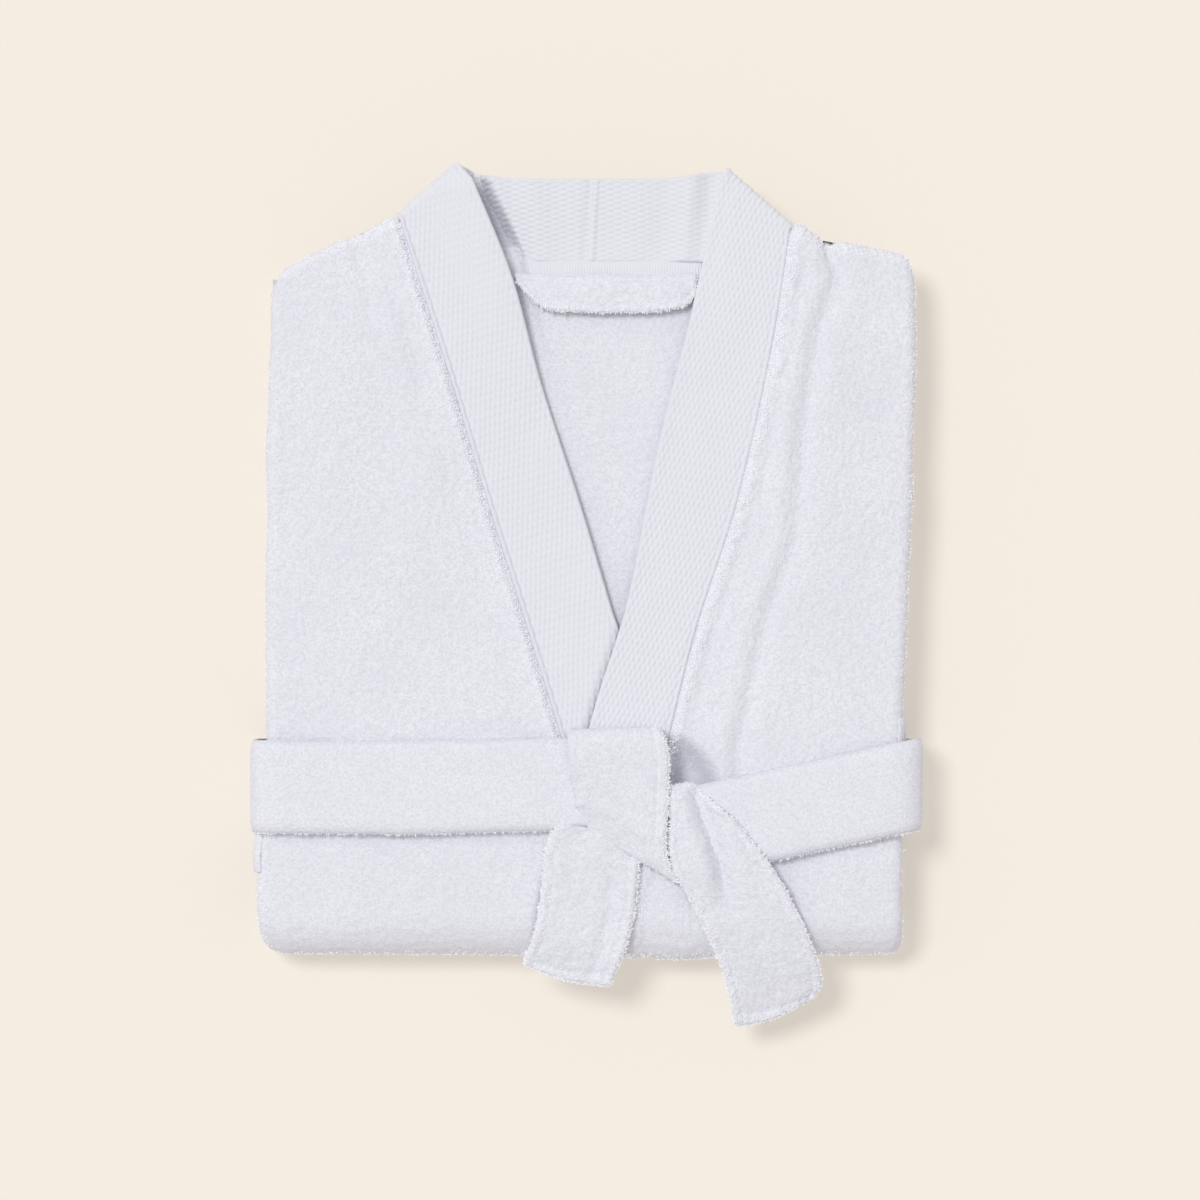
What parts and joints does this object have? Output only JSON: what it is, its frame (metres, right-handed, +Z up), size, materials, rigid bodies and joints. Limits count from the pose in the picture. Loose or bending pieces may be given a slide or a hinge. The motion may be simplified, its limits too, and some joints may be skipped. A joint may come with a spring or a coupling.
{
  "type": "bathrobe",
  "caption": "Folded white terry bathrobe with a honeycomb-weave shawl band, a hanger loop and a fabric belt tied round the stack.",
  "frame": {"origin": "on the floor under the middle of the folded robe's footprint, belt tails included", "axes": "+Z up, +Y from the bottom fold to the collar, +X to the right of someone who looks down at the front; left and right in the node names are meant that way"},
  "size_m": [0.376, 0.486, 0.0639],
  "materials": {
    "terry": "loop-pile cotton terry, white, matte and fuzzy",
    "honeycomb_pique": "honeycomb pique cotton, white, matte, cells about 3 mm",
    "ribbed_tape": "narrow ribbed cotton tape, white"
  },
  "bodies": {
    "robe": {"left_front_panel": "terry", "right_front_panel": "terry", "back_panel": "terry", "left_sleeve": "terry", "right_sleeve": "terry", "left_cuff": "terry", "right_cuff": "terry", "left_collar_band": "honeycomb_pique", "right_collar_band": "honeycomb_pique", "neck_tape": "ribbed_tape", "left_belt_loop": "terry", "right_belt_loop": "terry", "left_pocket": "terry", "right_pocket": "terry", "belt_wrap": "terry", "belt_knot_core": "terry", "belt_knot_wrap": "terry"},
    "hanger_loop": {"hanger_loop": "terry"},
    "left_tail": {"left_tail": "terry"},
    "right_tail": {"right_tail": "terry"}
  },
  "joints": [
    {"name": "hanger_loop_lift", "type": "hinge", "parent": "robe", "child": "hanger_loop", "pos_m": [0.01725, 0.1744, 0.0455], "axis": [-1, 0, 0], "range_deg": [0, 100]},
    {"name": "left_tail_lift", "type": "hinge", "parent": "robe", "child": "left_tail", "pos_m": [0.004, -0.1448, 0.0528], "axis": [-0.989, 0.1478, 0], "range_deg": [0, 75]},
    {"name": "right_tail_lift", "type": "hinge", "parent": "robe", "child": "right_tail", "pos_m": [0.061, -0.106, 0.0573], "axis": [-0.9629, -0.2699, 0], "range_deg": [0, 75]}
  ]
}
